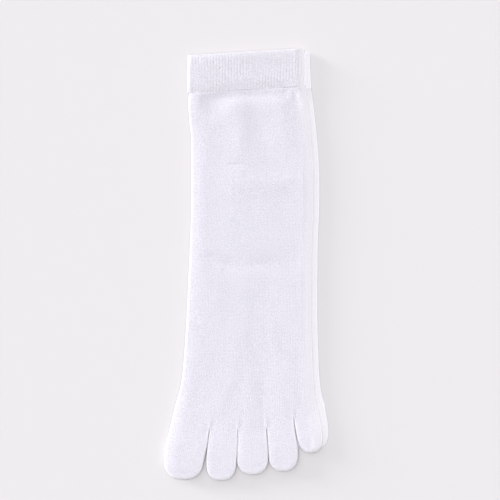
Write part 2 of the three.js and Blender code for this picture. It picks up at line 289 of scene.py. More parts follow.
# ---- how fine the meshes are ----
EDGE_POINTS, FLAT_POINTS = 14, 40  # of a tube's section, where its length is measured
HALF_HEIGHT = 1.2  # of a flattened tube, for the same measure
PINCH_ROWS = (1.5, 0.75, 0.0, -0.75, -1.5)  # rows of faces through the pinch, in its half widths
WEB_FACES = 4  # down the web of cloth between two toes, an even number
LEAST_TOE_ROWS = 3  # before a toe rounds off
TIP_ROWS = 10  # round a toe's end
RIB_FACES = 4  # across one rib of the cuff
# rows of the cuff's two faces and points round its edges, the first row outside and the last one inside,
# both measured up from the seam: from there the wall thins
CUFF_ROWS = {"outside": 24, "inside": 10, "edge": 7, "first": 0.2, "last": 3.0}
HEEL_STATIONS = 48  # across a heel pocket
HEEL_ROWS = {"outside": 14, "inside": 8, "edge": 9}  # down a face of its two layers, and round its tip
HEEL_WALE = 1.16  # width of a column of stitches in the heel


# ---- sizes and colours that a user would change ----
def colour(name, about, default):
    return FloatVectorProperty(
        name=name, description=about, default=default, size=3, subtype="COLOR", min=0.0, max=1.0
    )


def length(name, about, default):
    return FloatProperty(name=name, description=about, default=default, unit="LENGTH", precision=4, min=0.0)


class SockSizes(bpy.types.PropertyGroup):
    """Sizes of the knit and of the flattened tubes."""

    cloth: length("Cloth", "Thickness of one layer of knit", 0.5 * MM)
    course: length("Course", "Height of one knitted row", 1.05 * MM)
    row: length("Mesh row", "Distance between rows of faces along the sock", 2.4 * MM)
    wale_relief: length("Wale relief", "How far a column of stitches stands out", 0.04 * MM)
    toe_end: length("Toe end", "How far from its tip a toe pocket starts to round off", 12.0 * MM)
    toe_puff: length("Toe puff", "How much a toe pocket stands up in its middle", 0.2 * MM)
    faces_per_wale: IntProperty(name="Faces per wale", description="Faces across a wale", default=2, min=1)
    cuff_wall: length("Cuff wall", "Thickness of the ribbed cuff", 0.9 * MM)
    rib_pitch: length("Rib pitch", "Width of one rib of the cuff", 2.29 * MM)
    rib_depth: length("Rib depth", "How far a rib stands out", 0.01 * MM)


class SockColours(bpy.types.PropertyGroup):
    """Colours of the yarn and of the floor."""

    knit: colour("Knit", "Yarn of the leg, foot and toes", (0.814, 0.793, 0.886))
    # the cuffs' yarn is darker than the knit's: painted shade for the shadow among the dense ribs
    rib: colour("Rib", "Yarn of the cuffs", (0.748, 0.727, 0.805))
    floor: colour("Floor", "Surface that the pair lies on", (0.618, 0.600, 0.618))


# ---- small tools for the shapes ----
def ease(value, start, end):
    """From 0 at start to 1 at end, with soft ends. start may be above end."""
    t = np.clip((np.asarray(value, dtype=float) - start) / (end - start), 0.0, 1.0)
    return t * t * (3.0 - 2.0 * t)


def smooth_column(rows, column, at, key="y"):
    """A column of a table at the given places, joined by a smooth curve."""
    rows = sorted(rows, key=lambda row: row[key])
    places = np.array([row[key] for row in rows])
    values = np.array([row[column] for row in rows])
    slopes = np.gradient(values, places)
    at = np.asarray(at, dtype=float)
    k = np.clip(np.searchsorted(places, at) - 1, 0, len(places) - 2)
    span = places[k + 1] - places[k]
    t = np.clip((at - places[k]) / span, 0.0, 1.0)
    return (
        (2 * t**3 - 3 * t**2 + 1) * values[k]
        + (t**3 - 2 * t**2 + t) * span * slopes[k]
        + (3 * t**2 - 2 * t**3) * values[k + 1]
        + (t**3 - t**2) * span * slopes[k + 1]
    )


def bell(value, middle, width):
    """1 in the middle, and softly less to both sides."""
    return np.exp(-(((value - middle) / width) ** 2))


def toe_line(x):
    return smooth_column(TOE_LINE, "y", x, key="x")


def follow_cuff_and_toes(y, x):
    """The course that starts at y on the sock's middle line, at x: the cuff is cut at a slope, and the
    last courses lean towards the line of the toe roots."""
    tilt = ease(y, *TILT_FADE)
    lean = np.clip(1.0 - y / COURSE_LEAN["from"], 0.0, 1.0) ** COURSE_LEAN["power"]
    return y + tilt * CUFF_TILT * x + lean * toe_line(x)


def by_right_fold(x):
    return ease(x, *BY_RIGHT_FOLD)


def seam_level(x):
    """How high the cuff's lower edge lies over the flat of the leg: it dips, except by the right fold."""
    return SEAM_LEVEL["height"] * by_right_fold(x)


def thinned(fold, inward):
    """How thick a flattened tube is, as a part of its full height, on its way in from a fold."""
    return fold["thin"] + (1.0 - fold["thin"]) * (1.0 - np.clip(1.0 - inward / fold["slope"], 0.0, 1.0) ** 2)


def rounded(fold, inward):
    """The same for the rounding of the fold's edge."""
    return np.sqrt(1.0 - np.clip(1.0 - inward / fold["round"], 0.0, 1.0) ** 2)


def blended(fold, other, part):
    """A fold on its way into another one."""
    return {key: fold[key] + (other[key] - fold[key]) * part for key in fold}


def painted_fold_light(fold, inward):
    """How much light is painted into the yarn's colour beside a fold and on its very edge."""
    rim = (1.0 - fold["fluff"]) * fold["rim"] * np.exp(-((inward / RIM_WIDTH) ** 2))
    return rim + fold["fluff"] * np.exp(-((np.maximum(inward, 0.0) / fold["fluffy"]) ** LIGHT_PAINT_POWER))


def wall_share(lay, thick, sizes):
    """How thick the cloth may be, as a part of its full thickness, in a flattened tube that is thinner."""
    tenths = FULL_WALL * CLOTH_PART * lay.half * thick / (sizes.cloth / MM)
    return np.clip(np.round(tenths), LEAST_WALL, FULL_WALL) / FULL_WALL


class Section:
    """One face of a flattened tube from its left fold to its right one, carried on round the other face, at
    the given parts of its length along the cloth, so that the wales keep their width round the folds. n is
    its height as a part of the full one, and thick is how thick the tube is there."""

    def __init__(self, left, right, left_fold, right_fold, fractions):
        run_in = 1.0 - np.cos(np.linspace(0.0, math.pi / 2, EDGE_POINTS))
        from_left, from_right = left + left_fold["round"] * run_in, right - right_fold["round"] * run_in
        flat = np.linspace(from_left[-1], from_right[-1], FLAT_POINTS)
        xs = np.concatenate([from_left, flat[1:-1], from_right[::-1]])

        def heights(x):
            thick = thinned(left_fold, x - left) * thinned(right_fold, right - x)
            return thick, thick * rounded(left_fold, x - left) * rounded(right_fold, right - x)

        steps = np.hypot(np.diff(xs), HALF_HEIGHT * np.diff(heights(xs)[1]))
        run = np.concatenate([[0.0], np.cumsum(steps)])
        x = np.interp(fractions * run[-1], run, xs)
        if right_fold["round"] == PRESSED:
            # the column before the fold is drawn up to it, so that the pressed edge stands upright
            x[-2] = right - PRESSED
        thick, n = heights(x)
        # how much light is painted into the colour beside the two folds
        painted_light = np.maximum(painted_fold_light(left_fold, x - left), painted_fold_light(right_fold, right - x))
        self.x, self.thick, self.painted_light = (self.round_tube(values) for values in (x, thick, painted_light))
        self.n = self.round_tube(n, -1.0)

    @staticmethod
    def round_tube(values, sign=1.0):
        return np.concatenate([values, sign * values[-2:0:-1]])


def crease_height(creases, x, y):
    """How high all the creases together lift the cloth at the given places."""
    height = np.zeros_like(x)
    for crease in creases:
        turn = math.radians(crease["turn"])
        dx, dy = x - crease["x"], y - crease["y"]
        along = (dx * math.cos(turn) + dy * math.sin(turn)) / crease["length"]
        across = (dy * math.cos(turn) - dx * math.sin(turn)) / crease["width"]
        height += crease["height"] * np.exp(-(along**2) - across**2)
    return height


def slack(x, y):
    """The slight unevenness of cloth that lies loose."""
    def height(px, py):
        return sum(
            wave["height"] * noise.noise(Vector((px / wave["across"], py / wave["along"], wave["seed"])))
            for wave in SLACK_WAVES
        )
    return np.array([height(px, py) for px, py in zip(x, y)])


# ---- how each sock lies ----
class Lay:
    """One sock's place in the pair, read from the frame."""

    def __init__(self, name):
        self.name = name
        self.turned = name == "lower"
        self.own = SOCKS[name]
        low, high = (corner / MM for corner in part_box(f"{name}_leg_and_foot"))
        upper_low, upper_high = (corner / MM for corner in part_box("upper_leg_and_foot"))
        lower_low, lower_high = (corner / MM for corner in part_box("lower_leg_and_foot"))
        self.shift = low.x - LEG_AND_FOOT[-1]["left"]
        self.under_shift = lower_low.x - LEG_AND_FOOT[-1]["left"]
        self.toe_roots = low.y
        self.shorter = (high.y - low.y) / (upper_high.y - upper_low.y)
        self.half = (lower_high.z - lower_low.z) / 2
        self.base = 0.0 if self.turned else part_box("upper_heel_pocket")[0].z / MM

    def shows(self, n):
        """Where a point at height n is on the face that is seen from above."""
        return n < 0 if self.turned else n > 0

    def droop(self, inward, y):
        """How far the free side sinks, where it overhangs the sock beneath."""
        if self.turned:
            return 0.0
        here = DROOP
        for change in DROOP_CHANGES:
            part = ease(y, *change["fade"])
            here = {key: here[key] + change[key] * part for key in here}
        outward = np.clip(1.0 - inward / here["reach"], 0.0, 1.0)
        return here["steep"] * here["reach"] * outward ** here["curve"]

    def beneath(self, x, y):
        """How far the sock beneath is thinner than in its middle."""
        if self.turned:
            return 0.0
        under_x = x + self.shift - self.under_shift
        left, right = (smooth_column(LEG_AND_FOOT, side, y) for side in ("left", "right"))
        thick = thinned(FOLDS["lower_left"], under_x - left) * thinned(FOLDS["lower_right"], right - under_x)
        return 2 * self.half * (1.0 - thick) * ease(y, *BENEATH_FADE)

    def tip_droop(self, inward):
        """How far a toe's end sinks."""
        return self.own["tip_droop"] * np.clip(1.0 - inward / TIP_DROOP_REACH, 0.0, 1.0) ** 2

    def lifted(self, x, y, n):
        """How far the heels folded beneath lift the sock. The sole clears them; the instep is smoother."""
        aside = np.abs(x - HEEL["middle"])
        sole, instep = (
            ease(y, *hump["toes"]) * ease(y, *hump["cuff"]) * ease(aside, *hump["aside"])
            for hump in (HUMPS["sole"], HUMPS["instep"])
        )
        up = np.clip(0.5 + 0.5 * n / self.half, 0.0, 1.0)
        return self.own["lift"] * (sole + up * (INSTEP_HUMP * instep - sole))

    def place(self, x, y, n, thick, sunk=0.0):
        """Points of the sock in metres, in the pair's frame."""
        sunk = sunk + self.half * (1.0 - thick) + self.beneath(x, y)
        z = self.base + self.half + self.lifted(x, y, n) - sunk + (-n if self.turned else n)
        y = y * self.shorter + self.toe_roots
        return np.stack([x + self.shift, y, np.maximum(z, LOWEST)], axis=-1) * MM


# ---- the meshes ----
def only(obj):
    """Select one object and nothing else."""
    bpy.ops.object.select_all(action="DESELECT")
    obj.select_set(True)
    bpy.context.view_layer.objects.active = obj


class Knitting:
    """The points and faces of one piece while it is knitted. Each point keeps its wale and course, and
    its painted light: how much light is painted into its colour, from 0 on a flat face to 1 on a fold."""

    def __init__(self):
        self.points = []
        self.stitch = []
        self.painted_light = []
        self.wall = []
        self.faces = []
        self.corners = []
        self.sharp = set()

    def add(self, points, wales, courses, painted_light=0.0, wall=1.0):
        """Add points, and return their numbers."""
        start, count = len(self.points), len(points)
        self.points.extend(points)
        self.stitch.extend(zip(np.broadcast_to(wales, count), np.broadcast_to(courses, count)))
        self.painted_light.extend(np.broadcast_to(painted_light, count))
        self.wall.extend(np.broadcast_to(wall, count))
        return list(range(start, start + count))

    def face(self, loop, wales_round=None):
        """Add a face. Where it closes a ring, its wales count on past the last one."""
        self.faces.append(loop)
        corners = [self.stitch[i] for i in loop]
        most = max(u for u, _ in corners)
        if wales_round and most - min(u for u, _ in corners) > wales_round / 2:
            corners = [(u + wales_round if u < most - wales_round / 2 else u, v) for u, v in corners]
        self.corners.extend(corners)

    def join(self, one, other, wales_round=None, sharp=()):
        """Faces between two rings of points, with sharp edges between some of them."""
        self.sharp.update(frozenset((one[i], other[i])) for i in sharp)
        for i in range(len(one)):
            j = (i + 1) % len(one)
            self.face((one[i], other[i], other[j], one[j]), wales_round)

    def finish(self, name, relief=0.0):
        """The object, with its columns of stitches raised along the surface."""
        mesh = bpy.data.meshes.new(name)
        mesh.from_pydata([tuple(p) for p in self.points], [], self.faces)
        uv = mesh.uv_layers.new(name="stitches")
        uv.data.foreach_set("uv", np.array(self.corners, dtype=np.float32).ravel())
        # the painted light, which the material lays over the yarn's colour
        painted_light = mesh.attributes.new("painted_light", "FLOAT", "POINT")
        painted_light.data.foreach_set("value", np.array(self.painted_light, dtype=np.float32))
        mesh.polygons.foreach_set("use_smooth", [True] * len(mesh.polygons))
        for edge in mesh.edges:
            edge.use_edge_sharp = frozenset(edge.vertices) in self.sharp
        obj = bpy.data.objects.new(name, mesh)
        bpy.context.scene.collection.objects.link(obj)
        walls = obj.vertex_groups.new(name="wall")
        for share in sorted(set(self.wall)):
            walls.add([i for i, value in enumerate(self.wall) if value == share], share, "REPLACE")
        only(obj)
        bpy.ops.object.mode_set(mode="EDIT")
        bpy.ops.mesh.select_all(action="SELECT")
        bpy.ops.mesh.normals_make_consistent(inside=False)
        bpy.ops.object.mode_set(mode="OBJECT")
        if relief:
            normals = np.array([vertex.normal for vertex in mesh.vertices])
            wales = np.array([u for u, _ in self.stitch])
            raised = np.array(self.points) - relief * np.cos(2 * math.pi * wales)[:, None] * normals
            mesh.vertices.foreach_set("co", raised.astype(np.float32).ravel())
            mesh.update()
        return obj


def give_thickness(obj, thickness):
    """A wall of cloth from a skin, inwards."""
    only(obj)
    bpy.ops.object.modifier_add(type="SOLIDIFY")
    solid = obj.modifiers[-1]
    solid.thickness = thickness
    solid.offset = -1.0
    solid.vertex_group = "wall"
    bpy.ops.object.modifier_apply(modifier=solid.name)


CROTCHES = [(a["sides"][0]["right"] + b["sides"][0]["left"]) / 2 for a, b in zip(TOES, TOES[1:])]


def pucker_height(x, y):
    """The puckers above the crotches."""
    height = np.zeros_like(x)
    for crotch in CROTCHES:
        above = y - float(toe_line(crotch))
        for pucker in PUCKERS:
            across = (x - crotch) / pucker["width"]
            along = (above - pucker["above"]) / pucker["length"]
            height += pucker["height"] * np.exp(-(across**2) - along**2)
    return height


def shape_faces(lay, x, y, n):
    """Heights of a flattened tube, with the swell below the cuff, the creases, the slack of loose cloth
    and the puckers above the crotches. Only the face that shows is uneven."""
    pucker = pucker_height(x, y)
    below_seam = SEAM - (y - CUFF_TILT * x)
    flats = sum(bell(x, flat["x"], flat["width"]) for flat in SWELL_FLATS)
    reach = np.where(below_seam > SWELL["crest"], SWELL["down"], SWELL["up"])
    swell = SWELL["height"] * (1.0 - SWELL["flattened"] * flats) * bell(below_seam, SWELL["crest"], reach)
    step = SEAM_STEP * (1.0 - STEP_LOST * by_right_fold(x)) * ease(below_seam, *STEP_FADE)
    joined = seam_level(x) * bell(below_seam, 0.0, SEAM_LEVEL["reach"]) - step
    dip = SEAM_DIP["depth"] * ease(x, *SEAM_DIP["left"]) * ease(x, *SEAM_DIP["right"])
    dip = dip * bell(below_seam, SEAM_DIP["below"], SEAM_DIP["width"])
    creases = crease_height([*INSTEP_CREASES, PINCH], x, y) * ease(below_seam, *CREASE_FADE)
    relief = swell + joined - dip + creases
    relief += slack(x, y)
    if lay.turned:
        relief = np.clip(relief, *HIDDEN_RELIEF)
    on_face = np.abs(n) ** 2
    uneven = np.where(lay.shows(n), (relief + pucker) * on_face, pucker * on_face * PUCKERS_BEHIND)
    return lay.half * n + np.sign(n) * uneven


def as_points(*columns):
    """The points of a toe's root, each with its number in the mesh, its place and the tube's thickness."""
    return [dict(zip(("id", "x", "y", "n", "thick"), values)) for values in zip(*columns)]


def knit_webs(work, lay, sizes, ring, crotch_columns):
    """The webs of cloth in the crotches, from the instep down to the sole."""
    webs = []
    for column in crotch_columns:
        upper, lower = ring[column], ring[-column]
        down = np.arange(1, WEB_FACES) / WEB_FACES
        x, n = (upper[k] + down * (lower[k] - upper[k]) for k in ("x", "n"))
        y, thick = (np.full(len(down), value) for value in (upper["y"] + WEB_RISE, upper["thick"]))
        ids = work.add(lay.place(x, y, n, thick), column / sizes.faces_per_wale, down - 0.5)
        webs.append(as_points(ids, x, y, n, thick))
    return webs


def knit_skin(lay, sizes):
    """The outer skin of a sock below its cuff: leg and foot in one tube, which divides into five toes."""
    per_wale = sizes.faces_per_wale
    toe_columns = [toe["wales"] * per_wale for toe in TOES]
    columns = sum(toe_columns)
    crotch_columns = np.cumsum(toe_columns)[:-1]
    edges = [0, *crotch_columns, columns]
    wales_round = 2 * columns / per_wale
    course = sizes.course / MM
    foot_end = LEG_AND_FOOT[-1]
    foot_width = foot_end["right"] - foot_end["left"]
    even = np.arange(columns + 1) / columns
    crotch_parts = [(x - foot_end["left"]) / foot_width for x in CROTCHES]
    at_toes = np.interp(np.arange(columns + 1), edges, [0.0, *crotch_parts, 1.0])

    work = Knitting()
    rows = round(SKIN_TOP / (sizes.row / MM))
    ring_wales = np.arange(2 * columns) / per_wale
    previous = None
    pinched = [PINCH["y"] + step * PINCH["width"] for step in PINCH_ROWS]
    for y in sorted([*np.linspace(SKIN_TOP, 0.0, rows + 1), *pinched], reverse=True):
        left, right = (float(smooth_column(LEG_AND_FOOT, side, y)) for side in ("left", "right"))
        into_cuff = float(ease(y, SEAM - CUFF_FOLD_REACH, SEAM))
        folds = [
            blended(FOLDS[f"{lay.name}_{side}"], FOLDS[f"{lay.name}_cuff_{side}"], into_cuff)
            for side in ("left", "right")
        ]
        fractions = even + float(ease(y, *TOE_SPACING_FADE)) * (at_toes - even)
        tube = Section(left, right, *folds, fractions)
        x = tube.x
        ring_y = follow_cuff_and_toes(y, x)
        n = shape_faces(lay, x, ring_y, tube.n)
        place = lay.place(x, ring_y, n, tube.thick, lay.droop(x - left, ring_y))
        # each point carries the light painted beside the folds
        ring = work.add(place, ring_wales, y / course, tube.painted_light, wall_share(lay, tube.thick, sizes))
        if previous:
            work.join(previous, ring, wales_round, (columns - 1, columns + 1))
        previous = ring
    last_ring = as_points(ring, x, ring_y, n, tube.thick)

    webs = knit_webs(work, lay, sizes, last_ring, crotch_columns)
    for number, toe in enumerate(TOES):
        first, last = edges[number], edges[number + 1]
        left_web = webs[number - 1] if number > 0 else []
        right_web = webs[number] if number < len(webs) else []
        instep = last_ring[first:last + 1]
        sole = [last_ring[-i % (2 * columns)] for i in range(last, first - 1, -1)]
        if not right_web:
            sole = sole[1:]
        if not left_web:
            sole = sole[:-1]
        # the ring round the toe's root starts in the middle of the web at its left
        root = left_web[1::-1] + instep + right_web + sole + left_web[:1:-1]
        knit_toe(work, lay, sizes, toe, root, first / per_wale - (1 if left_web else 0))
    return work.finish(f"{lay.name}_sock", sizes.wale_relief)


def toe_rows(toe, sizes):
    """Where the rings of a toe pocket lie, from below its root down to its tip."""
    start, end = toe["sides"][0]["y"], sizes.toe_end / MM
    straight = start - (toe["tip"] + end)
    steps = max(LEAST_TOE_ROWS, round(straight / (sizes.row / MM)))
    rows = [start - straight * (k + 1) / steps for k in range(steps)]
    rows += [toe["tip"] + end * (1.0 - math.sin(math.pi / 2 * k / TIP_ROWS)) for k in range(1, TIP_ROWS)]
    return [*rows, toe["tip"]]


def toe_folds(lay, overhangs, outermost, reach):
    """The folds down the left and the right of a toe, which its narrow end has less room for."""
    left_fold = FOLDS[f"{lay.name}_left" if overhangs else "toe_left"]
    right_fold = FOLDS[f"{lay.name}_right" if outermost else "toe_right"]
    room = FOLD_ROOM * reach
    return [
        {**fold, "round": min(fold["round"], room), "slope": min(fold["slope"], room)}
        for fold in (left_fold, right_fold)
    ]


def knit_toe(work, lay, sizes, toe, root, first_wale):
    """One toe pocket, from the points of its root to its closed tip."""
    course, end = sizes.course / MM, sizes.toe_end / MM
    root_x, root_y, root_n, root_thick = (
        np.array([point[key] for point in root]) for key in ("x", "y", "n", "thick"))
    half_count = len(root) // 2
    overhangs, outermost = toe is TOES[0], toe is TOES[-1]
    if outermost:
        toe = dict(toe, tip=toe["tip"] - lay.own["little_longer"])
    start = toe["sides"][0]
    start_x = (start["left"] + start["right"]) / 2

    fold = FOLDS["toe_tip"]
    even = np.arange(half_count + 1) / half_count
    wales = first_wale + np.arange(len(root)) / sizes.faces_per_wale
    wales_round = len(root) / sizes.faces_per_wale
    sharp = (half_count - 1, half_count + 1) if outermost else ()
    previous = [point["id"] for point in root]
    for y in toe_rows(toe, sizes):
        reached = (start["y"] - y) / (start["y"] - toe["tip"])
        from_tip = y - toe["tip"]
        knitted = (y - start["y"]) / course
        narrowing = (1.0 - (1.0 - min(1.0, from_tip / end)) ** TOE_SQUARENESS) ** (1 / TOE_SQUARENESS)
        left, right = (float(smooth_column(toe["sides"], side, y)) for side in ("left", "right"))
        middle, reach = (left + right) / 2, (right - left) / 2 * narrowing
        lean = 0.0 if outermost else lay.own["toe_lean"] * reached
        at_tip = float(thinned(fold, from_tip))
        if from_tip == 0.0:
            spot = (np.array([middle + lean]), np.array([y]), np.zeros(1), np.array([at_tip * fold["thin"]]))
            # the tip carries the light painted on the toe's end
            tip = work.add(lay.place(*spot, lay.tip_droop(0.0)), first_wale, knitted, fold["fluff"])[0]
            for i in range(len(previous)):
                work.face((previous[i], tip, previous[(i + 1) % len(previous)]), wales_round)
            return
        tube = Section(middle - reach, middle + reach, *toe_folds(lay, overhangs, outermost, reach), even)
        puff = 0.0 if lay.turned else sizes.toe_puff / MM * float(ease(start["y"] - y, 0.0, PUFF_REACH))
        n = tube.n * at_tip * float(rounded(fold, from_tip))
        n = n * (lay.half + np.where(lay.shows(tube.n), puff, 0.0))
        thick = tube.thick * at_tip
        sunk = lay.tip_droop(from_tip) + (lay.droop(tube.x - left, y) if overhangs else 0.0)
        blend = float(ease(start["y"] - y, 0.0, ROOT_REACH))
        x = blend * tube.x + (1 - blend) * (root_x + middle - start_x)
        n = blend * n + (1 - blend) * root_n
        thick = blend * thick + (1 - blend) * root_thick
        ring_y = y + (1 - blend) * (root_y - start["y"])
        # light painted into the colour beside the toe's folds and towards its tip
        painted_light = np.maximum(tube.painted_light, painted_fold_light(fold, from_tip))
        place = lay.place(x + lean, ring_y, n, thick, sunk)
        ring = work.add(place, wales, knitted, painted_light, wall_share(lay, thick, sizes))
        work.join(previous, ring, wales_round, sharp)
        previous = ring


def above_seam(y, fade):
    """A fade that is measured up from the seam."""
    return float(ease(y, SEAM + fade[0], SEAM + fade[1]))


def cuff_outline(wall):
    """The outline of the cuff's wall: y along the sock, and the depth below its outer face. It is rounded
    at the top and thins to the seam."""
    top = CUFF[0]["y"]
    radius, hem = wall / 2, SEAM_STEP / 2
    turn = np.linspace(0.0, math.pi, CUFF_ROWS["edge"])
    outside = np.linspace(SEAM + hem + CUFF_ROWS["first"], top - radius, CUFF_ROWS["outside"])
    inside = np.linspace(top - radius, SEAM + CUFF_ROWS["last"], CUFF_ROWS["inside"])
    return [
        (SEAM + hem, 0.0),
        *((y, 0.0) for y in outside),
        *((top - radius + radius * math.sin(a), radius * (1 - math.cos(a))) for a in turn[1:-1]),
        *((y, wall) for y in inside),
        *((SEAM + hem - hem * math.sin(a), hem * (1 + math.cos(a))) for a in turn[:-1]),
    ]


def knit_cuff(lay, sizes):
    """The ribbed cuff: one wall, rounded at both edges, swept round the flattened opening."""
    wall, course = sizes.cuff_wall / MM, sizes.course / MM
    top = CUFF[0]["y"]
    ribs = 2 * round((CUFF[1]["right"] - CUFF[1]["left"]) / (sizes.rib_pitch / MM))
    columns = ribs * RIB_FACES // 2
    even = np.arange(columns + 1) / columns
    rib = np.arange(2 * columns) / RIB_FACES
    rib_wave = np.cos(2 * math.pi * rib)
    folds = [FOLDS[f"{lay.name}_cuff_{side}"] for side in ("left", "right")]

    work = Knitting()
    outline = cuff_outline(wall)
    rings = []
    walked, last = 0.0, outline[0]
    for y, depth in outline:
        walked += math.hypot(y - last[0], depth - last[1])
        last = (y, depth)
        left, right = (float(smooth_column(CUFF, side, y)) for side in ("left", "right"))
        tube = Section(left + depth, right - depth, *folds, even)
        x, level = tube.x, seam_level(tube.x)
        crown = level + (CUFF_CROWN["height"] - level) * above_seam(y, CUFF_CROWN["fade"])
        gape = CUFF_GAPE["height"] * float(ease(y, top - CUFF_GAPE["depth"], top))
        gape = gape * bell(x, CUFF_GAPE["x"], CUFF_GAPE["width"])
        raised = 0.0 if lay.turned else np.where(tube.n > 0, (crown + gape) * tube.n, 0.0)
        half = lay.half - depth + raised
        by_seam = SEAM_VALLEYS["depth"] * above_seam(y, SEAM_VALLEYS["fade"]) * (1.0 - by_right_fold(x))
        valley = (sizes.rib_depth / MM + by_seam) * (1 + rib_wave) * (1.0 - depth / wall)
        scallop = SCALLOPS["depth"] * rib_wave * above_seam(y, SCALLOPS["fade"])
        ring_y = y + CUFF_TILT * x - scallop
        # painted light: a paler colour along the cuff's top edge
        top_light_paint = CUFF_TOP_LIGHT_PAINT["fluff"] * math.exp(-((top - y) / CUFF_TOP_LIGHT_PAINT["depth"]) ** 2)
        sunk = lay.droop(x - left, ring_y)
        place = lay.place(x, ring_y, tube.n * (half - valley), tube.thick, sunk)
        rings.append(work.add(place, rib, walked / course, np.maximum(tube.painted_light, top_light_paint)))
    for one, other in zip(rings, rings[1:] + rings[:1]):
        work.join(one, other, ribs, (columns - 1, columns + 1))
    return work.finish(f"{lay.name}_cuff_rib")


def fold_heel(lay, sizes):
    """The heel pocket, folded flat against the sole: a rounded pouch two layers thick, open at its neck."""
    half_gap = HEEL["gap"] / 2
    layers = HEEL["cloth"] + half_gap
    course = sizes.course / MM
    roundness = np.linspace(-math.pi / 2, math.pi / 2, HEEL_ROWS["edge"])
    work = Knitting()
    rings = []
    for station in range(HEEL_STATIONS + 1):
        across = -math.cos(math.pi * station / HEEL_STATIONS)
        depth = HEEL["shallowest"] + (HEEL["deepest"] - HEEL["shallowest"]) * math.sqrt(1 - across**2)
        tip = depth - layers
        outer_run, inner_run = (np.linspace(0.0, tip, HEEL_ROWS[side]) for side in ("outside", "inside"))
        outline = [(d, -layers) for d in outer_run]
        outline += [(tip + layers * math.cos(a), layers * math.sin(a)) for a in roundness[1:-1]]
        outline += [(d, layers) for d in outer_run[::-1]]
        outline += [(d, half_gap) for d in inner_run]
        outline += [(d, -half_gap) for d in inner_run[::-1]]
        d, n = np.array(outline).T
        x = np.full(len(d), HEEL["middle"] + across * HEEL["half_width"])
        y = lay.own["heel_line"] + lay.own["heel_fold"] * d / lay.shorter
        points = lay.place(x, y, n - lay.half - HEEL["clear"] - layers, np.ones(len(d)))
        rings.append(work.add(points, x / HEEL_WALE, d / course))
    for one, other in zip(rings, rings[1:]):
        work.join(one, other)
    for ring in (rings[0], rings[-1][::-1]):
        work.face(tuple(ring))
    return work.finish(f"{lay.name}_heel_fold")


# ---- the materials ----
# A stitch, in wales and courses: where its legs of yarn lie beside its middle, how narrow they are, how they
# lean, and how deep and how suddenly each is parted from the next one in its column.
STITCH = {"leg": 0.22, "narrow": 3.9, "lean": 1.3, "bite": 0.6, "bite_power": 3.0}
# the yarn's unevenness: how fine and how deep its grain is, how much shade is painted into the valleys
# between the stitches, and how much the stitches stand out
KNITS = {
    "plain_knit": {"grain_scale": 1150.0, "grain": 0.50, "valley": 0.25, "bump": 0.6},
    "rib_knit": {"grain_scale": 1300.0, "grain": 0.65, "valley": 0.16, "bump": 0.35},
}
EACH_LEG = 0.12  # how unlike the single legs of yarn are
CLOUDS = {"scale": 90.0, "detail": 3.0, "depth": 0.03}
FUZZ = {"scale": 2600.0, "detail": 2.0, "height": 0.35}
PAINTED_LIGHT_COLOUR = (0.942, 0.922, 0.975)  # painted light: the paler colour laid on the yarn beside its folds
PAINTED_LIGHT_GRAIN = 0.16  # how much grain the painted light has
UNDER_PAINTED_LIGHT = 0.75  # how much of the yarn's unevenness the painted light hides
SHADE = 0.52  # how light the yarn is where its grain and tone are darkest and its valleys get painted shade
BUMP_DISTANCE = 0.0004
COTTON = {
    "Roughness": 0.92,
    "Specular IOR Level": 0.2,
    "Sheen Weight": 0.7,
    "Sheen Roughness": 0.4,
    "Sheen Tint": (1.0, 0.98, 1.0, 1.0),
}
FLOOR_LOOKS = {"Roughness": 0.8, "Specular IOR Level": 0.1}
FLOOR_CLOUDS = {"scale": 3.0, "detail": 3.0, "depth": 0.03, "shade": 0.8}
MIX_INPUTS, MIX_RESULT = (6, 7), 2  # a Mix node's sockets for colours


def darker(value, shade):
    return tuple(c * shade for c in value)


class Nodes:
    """A material's node tree, with short calls for what the knit patterns repeat."""

    def __init__(self, name):
        self.material = bpy.data.materials.new(name)
        self.material.use_nodes = True
        self.tree = self.material.node_tree
        self.shader = self.tree.nodes["Principled BSDF"]

    def node(self, kind, **settings):
        node = self.tree.nodes.new(kind)
        for key, value in settings.items():
            setattr(node, key, value)
        return node

    def link(self, source, target):
        """Link a socket, or set a plain value."""
        if hasattr(source, "is_output"):
            self.tree.links.new(source, target)
        else:
            target.default_value = source

    def math(self, operation, *values):
        node = self.node("ShaderNodeMath", operation=operation)
        for value, socket in zip(values, node.inputs):
            self.link(value, socket)
        return node.outputs[0]

    def noise(self, vector, scale, detail):
        texture = self.node("ShaderNodeTexNoise")
        self.link(scale, texture.inputs["Scale"])
        self.link(detail, texture.inputs["Detail"])
        self.link(vector, texture.inputs["Vector"])
        return texture.outputs["Fac"]

    def mix(self, factor, one, other):
        node = self.node("ShaderNodeMix", data_type="RGBA")
        self.link(factor, node.inputs["Factor"])
        for value, number in zip((one, other), MIX_INPUTS):
            self.link(value if hasattr(value, "is_output") else (*value, 1.0), node.inputs[number])
        return node.outputs[MIX_RESULT]

    def finish(self, base, looks):
        """The material, with its colour and the looks of its surface."""
        self.link(base, self.shader.inputs["Base Color"])
        for name, value in looks.items():
            self.link(value, self.shader.inputs[name])
        return self.material


